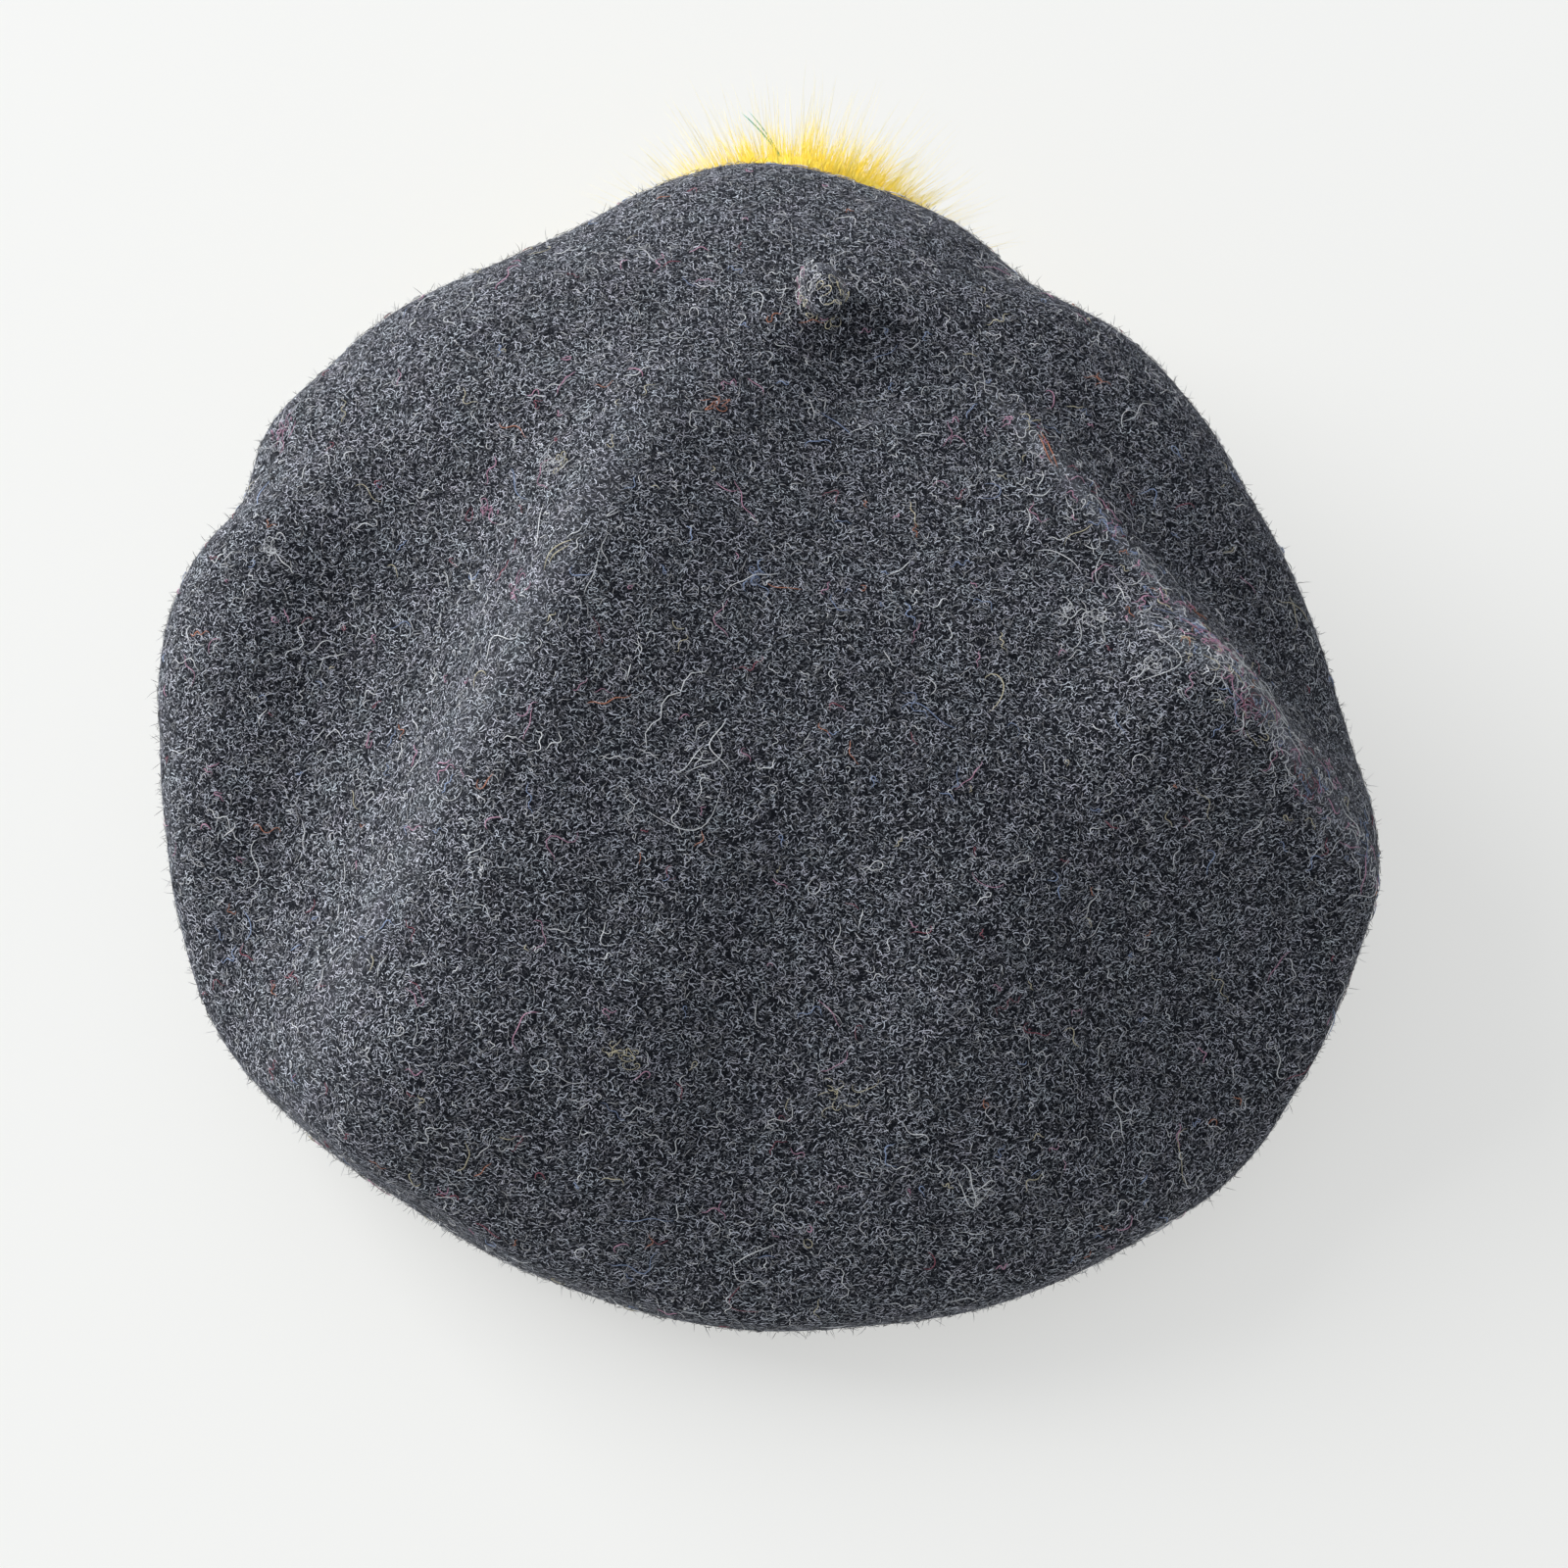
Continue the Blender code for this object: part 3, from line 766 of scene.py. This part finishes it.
# Threads
ends = np.array([[[row.start_x, row.start_y], [row.end_x, row.end_y]] for row in THREADS])
chord = ends[:, 1] - ends[:, 0]
left = np.stack([-chord[:, 1], chord[:, 0]], axis=-1)
bow = np.array([row.bow for row in THREADS])[:, None]
waves = np.array([row.waves for row in THREADS])[:, None]
wiggle = np.array([row.wiggle * MM for row in THREADS])[:, None] / (CROWN_WIDTH / 2)
aside = bow * swell + wiggle / np.linalg.norm(chord, axis=1)[:, None] * np.sin(waves * share * 2 * math.pi)
plan = ends[:, :1] + chord[:, None] * share[..., None] + left[:, None] * aside[..., None]
lift = (0.1 + 0.25 * swell) * np.ones((len(plan), 1)) * MM
paths = np.concatenate([paths, onto_felt(crown_places(plan), lift)])
kinds = np.concatenate([kinds, [row.kind for row in THREADS]])
widths = np.concatenate([widths, chance.uniform(0.10, 0.15, len(THREADS))])
guides = np.concatenate([guides, np.tile(UPWARD, (len(THREADS), 1))])

# Tangles
for row in TANGLES:
    spread = chance.normal(0, row.reach * 0.45 * MM, (row.hairs, 3))
    centre = crown_places([[row.x, row.y]])
    paths_here = wander(
        chance, centre + spread, np.tile(UPWARD, (row.hairs, 1)),
        length=chance.uniform(2.0, 5.5, row.hairs) * MM,
        turn=chance.choice([-1, 1], row.hairs) * chance.uniform(2.0, 6.5, row.hairs),
        waves=chance.uniform(0.5, 1.5, row.hairs),
        sway=chance.uniform(0.1, 0.7, row.hairs),
        stops=LINT_STOPS,
    )
    lift = chance.uniform(0.1, 0.7, (row.hairs, 1)) * (0.4 + swell)
    paths = np.concatenate([paths, onto_felt(paths_here, lift * MM)])
    kinds = np.concatenate([kinds, np.full(row.hairs, row.kind)])
    widths = np.concatenate([widths, chance.uniform(0.055, 0.09, row.hairs)])
    guides = np.concatenate([guides, np.tile(UPWARD, (row.hairs, 1))])

lint = fibre_piece("lint", paths, taper(LINT_STOPS, widths * MM, len(paths)), guides, kinds)

# Loose dyed wool or acrylic fibre: matt, one colour along its length, faded here and there.
FADED = 0.7
lint_materials = {}
for kind in LINT:
    material, tree, shader = new_material(kind.name)
    place = node(tree, "ShaderNodeTexCoord").outputs["Object"]
    tone = node(tree, "ShaderNodeTexNoise", {"Scale": 120.0, "Detail": 1.0}, {"Vector": place})
    full = linear(kind.colour)
    faded = [FADED * part for part in full[:3]] + [1]
    tint = node(tree, "ShaderNodeMix", {"data_type": "RGBA", 6: faded, 7: full}, {0: tone.outputs["Fac"]})
    tree.links.new(tint.outputs[2], shader.inputs["Base Color"])
    shader.inputs["Roughness"].default_value = 0.75
    shader.inputs["Specular IOR Level"].default_value = 0.3
    lint.data.materials.append(material)
    lint_materials[kind.name] = material
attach(lint, "root")

# Stalk
#
# The short felt tail left where the knitting of a beret ends. It stands at the middle of the crown, leans
# to the back, and its loose wool has worn into pale curls.

STALK_LENGTH = 19 * MM
STALK_WIDTH = 7.5 * MM
STALK_LEAN = 78
STALK_TURN = 8
GAP = 0.3 * MM

# Mesh: points round each ring and rings along the bend, rounded off past this share of its length
SIDES = 28
RINGS = 30
ROUND_END = 0.75
spot = top + [0, 0, GAP]
turn = math.radians(STALK_TURN)
right = np.array([math.cos(turn), math.sin(turn), 0])
stalk_points = []
stalk_spine = []
for ring in range(RINGS):
    share = ring / (RINGS - 1)
    lean = math.radians(STALK_LEAN * min(1, 1.6 * share))
    axis = np.array([math.sin(lean) * math.sin(turn), -math.sin(lean) * math.cos(turn), math.cos(lean)])
    upright = np.cross(axis, right)
    radius = STALK_WIDTH / 2 * (0.86 + 0.14 * math.sin(math.pi * share))
    radius *= math.sqrt(max(0.02, 1 - max(0, share - ROUND_END) ** 2 * 15.6))
    angle = 2 * math.pi * np.arange(SIDES)[:, None] / SIDES
    ring_points = spot + radius * (np.cos(angle) * right + np.sin(angle) * upright)
    puff = 1 + 0.09 * matting(ring_points * 5, 8)[:, None]
    stalk_points.append(spot + (ring_points - spot) * puff)
    stalk_spine.append((spot, axis, radius))
    spot = spot + axis * STALK_LENGTH / (RINGS - 1)
stalk_faces = ring_quads(RINGS, SIDES, 0)[:, ::-1].tolist()
stalk_faces.append(tuple(reversed(range(SIDES))))
stalk_faces.append(tuple(range((RINGS - 1) * SIDES, RINGS * SIDES)))
stalk = smooth_piece("stalk_felt", np.concatenate(stalk_points), stalk_faces)
stalk.data.materials.append(fulled_wool)
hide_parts("stalk")
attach(stalk, "root")

# Loose curls on the stalk: shares of dark, pale and pink ones, with an olive swirl at its end
STALK_CURLS = 95
STALK_CURL_STOPS = 12
STALK_CURL_SHARES = (0.62, 0.30, 0.08)
OLIVE_END = 0.78
share = chance.uniform(0.05, 1.0, STALK_CURLS)
ring = (share * (RINGS - 1)).astype(int)
centre = np.array([stalk_spine[i][0] for i in ring])
axis = np.array([stalk_spine[i][1] for i in ring])
radius = np.array([stalk_spine[i][2] for i in ring])[:, None]
angle = chance.uniform(0, 2 * math.pi, (STALK_CURLS, 1))
away = unit(np.cos(angle) * right + np.sin(angle) * np.cross(axis, right))
roots = centre + away * radius * 1.03
paths = wander(
    chance, roots, away,
    length=chance.uniform(3.0, 7.5, STALK_CURLS) * MM,
    turn=chance.normal(0, 1.5, STALK_CURLS) + chance.choice([-6.0, 6.0], STALK_CURLS),
    waves=chance.uniform(0.4, 1.2, STALK_CURLS),
    sway=chance.uniform(0.1, 0.6, STALK_CURLS),
    stops=STALK_CURL_STOPS,
)
swell = np.sin(math.pi * np.linspace(0, 1, STALK_CURL_STOPS))[None, :, None]
lift = chance.uniform(0.0, 0.3, (STALK_CURLS, STALK_CURL_STOPS, 1))
lift = lift + chance.uniform(0.1, 1.1, (STALK_CURLS, 1, 1)) * swell
paths = paths + away[:, None, :] * lift * MM
kinds = chance.choice(3, STALK_CURLS, p=STALK_CURL_SHARES)
kinds = np.where((share > OLIVE_END) & (chance.uniform(size=STALK_CURLS) < 0.55), 3, kinds)
widths = taper(STALK_CURL_STOPS, chance.uniform(0.075, 0.11, STALK_CURLS) * MM, STALK_CURLS)
stalk_curls = fibre_piece("stalk_curls", paths, widths, away, kinds)
stalk_curls.data.materials.append(wool_hair)
for name in ("pale_lint", "pink_lint", "olive_lint"):
    stalk_curls.data.materials.append(lint_materials[name])
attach(stalk_curls, "root")

# Pompom
#
# A ball of dyed fur sewn to the front wall of the felt: a soft skin ball packed with underfur, with
# locks and longer guard hairs that fan out from it. It is flat where it presses on the felt.

POMPOM_RADIUS = 34 * MM
POMPOM_LOCK = 9 * MM
POMPOM_X = 5 * MM
POMPOM_HEIGHT = 46 * MM
POMPOM_STANDOFF = 5 * MM

# Points of the felt's front wall, and from them the place, slope and seat of the ball
bearing, run = np.meshgrid(np.linspace(50, 130, 81), np.linspace(0.8, 2, 61))
wall = felt_face(bearing, run).reshape(-1, 3)
across_x = MIDDLE_X + POMPOM_X
beside_x = wall[np.abs(wall[:, 0] - across_x) < POMPOM_LOCK / 4]
order = np.argsort(beside_x[:, 2])
heights = POMPOM_HEIGHT + POMPOM_RADIUS * np.array([-0.7, 0, 0.7])
low, level, high = np.interp(heights, beside_x[order, 2], beside_x[order, 1])
slope = unit(np.array([0, high - low, heights[2] - heights[0]]))
pompom_away = np.array([0, slope[2], -slope[1]])
pompom_middle = np.array([across_x, level, POMPOM_HEIGHT]) + pompom_away * POMPOM_STANDOFF
near = wall[np.linalg.norm(wall - pompom_middle, axis=1) < POMPOM_RADIUS + POMPOM_LOCK]
pompom_seat = float(-((near - pompom_middle) @ pompom_away).max() - GAP)


def clear_of_felt(paths, gap):
    """Keeps points of the pompom a gap away from the felt, on its own side of it, and above the floor."""
    behind = -((paths - pompom_middle) @ pompom_away) - (pompom_seat - gap)
    paths = paths + pompom_away * np.maximum(behind, 0)[..., None]
    paths[..., 2] = np.maximum(paths[..., 2], 0.4 * MM)
    return paths


# The skin ball under the fur, and how deep in it the hairs are rooted
SKIN_DEPTH = 1.5 * MM
ROOTS_DEPTH = 5 * MM
bpy.ops.mesh.primitive_ico_sphere_add(subdivisions=5, radius=1)
head = bpy.context.object
head.name = head.data.name = "pompom_head"
ways = unit(np.array([v.co[:] for v in head.data.vertices]))
puff = 1 + 0.02 * matting(ways * POMPOM_RADIUS * 2, 21)[:, None]
shape = clear_of_felt(pompom_middle + ways * puff * (POMPOM_RADIUS - SKIN_DEPTH), 0.2 * MM)
head.data.vertices.foreach_set("co", shape.astype(np.float32).ravel())
head.data.update()
head.data.shade_smooth()

# No hair grows on the side that presses on the felt, which is below this when straight out is 1
PRESSED_SIDE = -0.45

# Locks, which the hairs gather to
LOCKS = 620
lock_ways = unit(chance.normal(size=(LOCKS, 3)))
lock_reach = POMPOM_RADIUS + POMPOM_LOCK * chance.uniform(0.3, 1.1, LOCKS)


def fur(name, count, stops, long_by, thick, gather):
    """
    Hairs that leave the head straight out, gather towards the tip of their lock and droop a little. They
    end long_by past that tip, and thick is half their width, each a least and a most in millimetres.
    """
    ways = unit(chance.normal(size=(count * 2, 3)))
    ways = ways[ways @ pompom_away > PRESSED_SIDE][:count]
    lock = np.argmax(ways @ lock_ways.T, axis=1)
    share = np.linspace(0, 1, stops)[None, :, None]
    drawn = gather * chance.uniform(0.3, 1.0, (len(ways), 1, 1)) * share**1.4
    way = unit(ways[:, None, :] * (1 - drawn) + lock_ways[lock][:, None, :] * drawn)
    tip = lock_reach[lock] + chance.uniform(*long_by, len(ways)) * MM
    root = POMPOM_RADIUS - ROOTS_DEPTH
    reach = root + (tip[:, None, None] - root) * share
    bend = unit(chance.normal(size=(len(ways), 3)))[:, None, :]
    bend = bend * chance.uniform(0, 2.6, (len(ways), 1, 1)) * MM
    droop = np.array([0, 0, 1.8 * MM])
    paths = pompom_middle + way * reach + (bend - droop) * share**2
    guide = unit(np.cross(ways, chance.normal(size=ways.shape)))
    widths = np.outer(chance.uniform(*thick, len(ways)) * MM, np.linspace(1.0, 0.35, stops))
    loose = np.minimum(chance.exponential(1.6, (len(ways), 1)), 6) * share[..., 0]
    return fibre_piece(name, clear_of_felt(paths, (0.1 + loose) * MM), widths, guide)


# Short dense underfur, guard hairs that end about the locks' tips, and a few long wisps past them
underfur = fur("pompom_underfur", 7000, stops=5, long_by=(-7.0, -3.0), thick=(0.10, 0.17), gather=0.6)
guard = fur("pompom_guard_hair", 5000, stops=6, long_by=(-2.5, 3.0), thick=(0.05, 0.09), gather=1.0)
wisps = fur("pompom_wisps", 1500, stops=6, long_by=(3.0, 14.0), thick=(0.03, 0.05), gather=0.5)

# Two stray hairs that lie on the fur, from one root
STRAY_STOPS = 8
share = np.linspace(0, 1, STRAY_STOPS)[:, None]
root_way = np.array([-0.042, 0.865, 0.500])
tip_ways = np.array([[-0.250, 0.838, 0.484], [-0.215, 0.843, 0.490]])
stray_ways = unit(root_way + (tip_ways[:, None] - root_way) * share)
stray_paths = pompom_middle + stray_ways * (31 + 13 * share) * MM + np.array([0, -1.2, 2.0]) * MM
stray_widths = np.outer([1.0, 0.7], np.linspace(0.30, 0.10, STRAY_STOPS)) * MM
stray = fibre_piece("stray_hair", stray_paths, stray_widths, np.tile(UPWARD, (2, 1)))

# Dyed fibre, blue-green: one plain colour with a faint shine.
teal_fibre, tree, shader = new_material("teal_fibre")
shader.inputs["Base Color"].default_value = linear("#4FB49A")
shader.inputs["Roughness"].default_value = 0.6
stray.data.materials.append(teal_fibre)
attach(stray, "root")

# Dyed fur: clear warm yellow, deeper at the roots as painted shade where light is trapped, paler at the
# tips as painted light where it shines through them, and a faint painted glow of its own.
dyed_fur, tree, shader = new_material("dyed_fur")
place = node(tree, "ShaderNodeTexCoord").outputs["Object"]
offset = node(
    tree, "ShaderNodeVectorMath", {"operation": "DISTANCE", 1: tuple(pompom_middle)}, {0: place}
)
depth = node(
    tree, "ShaderNodeMapRange",
    {"From Min": POMPOM_RADIUS - 2 * MM, "From Max": POMPOM_RADIUS + POMPOM_LOCK + 2 * MM},
    {"Value": offset.outputs["Value"]},
)
# Painted shade and light: deeper yellow at the roots, paler towards the tips
tint = node(
    tree, "ShaderNodeMix", {"data_type": "RGBA", 6: linear("#FFE636"), 7: linear("#FFF4B0")},
    {0: depth.outputs[0]},
)
patch = node(tree, "ShaderNodeTexNoise", {"Scale": 160.0, "Detail": 2.0}, {"Vector": place})
shade = node(tree, "ShaderNodeMapRange", {"To Min": 0.88, "To Max": 1.1}, {"Value": patch.outputs["Fac"]})
coloured = node(
    tree, "ShaderNodeVectorMath", {"operation": "SCALE"}, {0: tint.outputs[2], "Scale": shade.outputs[0]}
)
tree.links.new(coloured.outputs[0], shader.inputs["Base Color"])
shader.inputs["Roughness"].default_value = 0.55
shader.inputs["IOR"].default_value = 1.55
shader.inputs["Sheen Weight"].default_value = 0.4
shader.inputs["Sheen Tint"].default_value = linear("#FFF0B0")
# Painted light: a faint glow that stands in for light shining through the thin hairs
shader.inputs["Emission Color"].default_value = linear("#FFDE48")
shader.inputs["Emission Strength"].default_value = 0.16
for tuft_piece in (head, underfur, guard, wisps):
    tuft_piece.data.materials.append(dyed_fur)
    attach(tuft_piece, "root")
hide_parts("fur_pompom")

# Floor, light and camera
#
# Pale card with light from the front left, as soft as a large window's, and a room that is brighter on
# that side. The camera looks down on the back of the crown at 60 degrees.

FLOOR_SIZE = 8
bpy.ops.mesh.primitive_plane_add(size=FLOOR_SIZE)
floor = bpy.context.object
floor.name = "floor"

# Matt card, off white. A faint glow of its own keeps it as even as the photo's ground.
pale_card, tree, shader = new_material("pale_card")
place = node(tree, "ShaderNodeTexCoord").outputs["Object"]
drift = node(tree, "ShaderNodeTexNoise", {"Scale": 1.2, "Detail": 1.0}, {"Vector": place})
tint = node(
    tree, "ShaderNodeMix", {"data_type": "RGBA", 6: linear("#9C9D9C"), 7: linear("#A2A29F")},
    {0: drift.outputs["Fac"]},
)
tree.links.new(tint.outputs[2], shader.inputs["Base Color"])
shader.inputs["Roughness"].default_value = 0.9
shader.inputs["Emission Color"].default_value = linear("#FFFFFC")
shader.inputs["Emission Strength"].default_value = 0.55
floor.data.materials.append(pale_card)

CAMERA_HEIGHT_ANGLE = math.radians(60)
CAMERA_DISTANCE = 0.58
target = Vector((MIDDLE_X + 3.6 * MM, MIDDLE_Y - 12 * MM, 45 * MM))

window_light = bpy.data.lights.new("window_light", "AREA")
window_light.size = 3.9
window_light.energy = 425
window = bpy.data.objects.new("window_light", window_light)
window.location = (-4.42, 2.49, 2.21)
window.rotation_euler = (target - window.location).to_track_quat("-Z", "Y").to_euler()
bpy.context.scene.collection.objects.link(window)

world = bpy.data.worlds.new("soft_room")
world.use_nodes = True
tree = world.node_tree
way = node(tree, "ShaderNodeTexCoord").outputs["Generated"]
facing = node(tree, "ShaderNodeVectorMath", {"operation": "DOT_PRODUCT", 1: (-0.75, 0.4, 0.5)}, {0: way})
brighter = node(
    tree, "ShaderNodeMapRange", {"From Min": -1.0, "From Max": 1.0, "To Min": 0.15, "To Max": 0.75},
    {"Value": facing.outputs["Value"]},
)
tree.nodes["Background"].inputs["Color"].default_value = linear("#EEF2FA")
tree.links.new(brighter.outputs[0], tree.nodes["Background"].inputs["Strength"])
bpy.context.scene.world = world
bpy.context.scene.view_settings.view_transform = "Standard"

camera = bpy.data.objects.new("camera", bpy.data.cameras.new("camera"))
back = Vector((0, -math.cos(CAMERA_HEIGHT_ANGLE), math.sin(CAMERA_HEIGHT_ANGLE)))
camera.location = target + back * CAMERA_DISTANCE
camera.rotation_euler = back.to_track_quat("Z", "Y").to_euler()
camera.data.sensor_width = 36
camera.data.lens = 66.375
camera.data.clip_start = 0.01
bpy.context.scene.collection.objects.link(camera)
bpy.context.scene.camera = camera
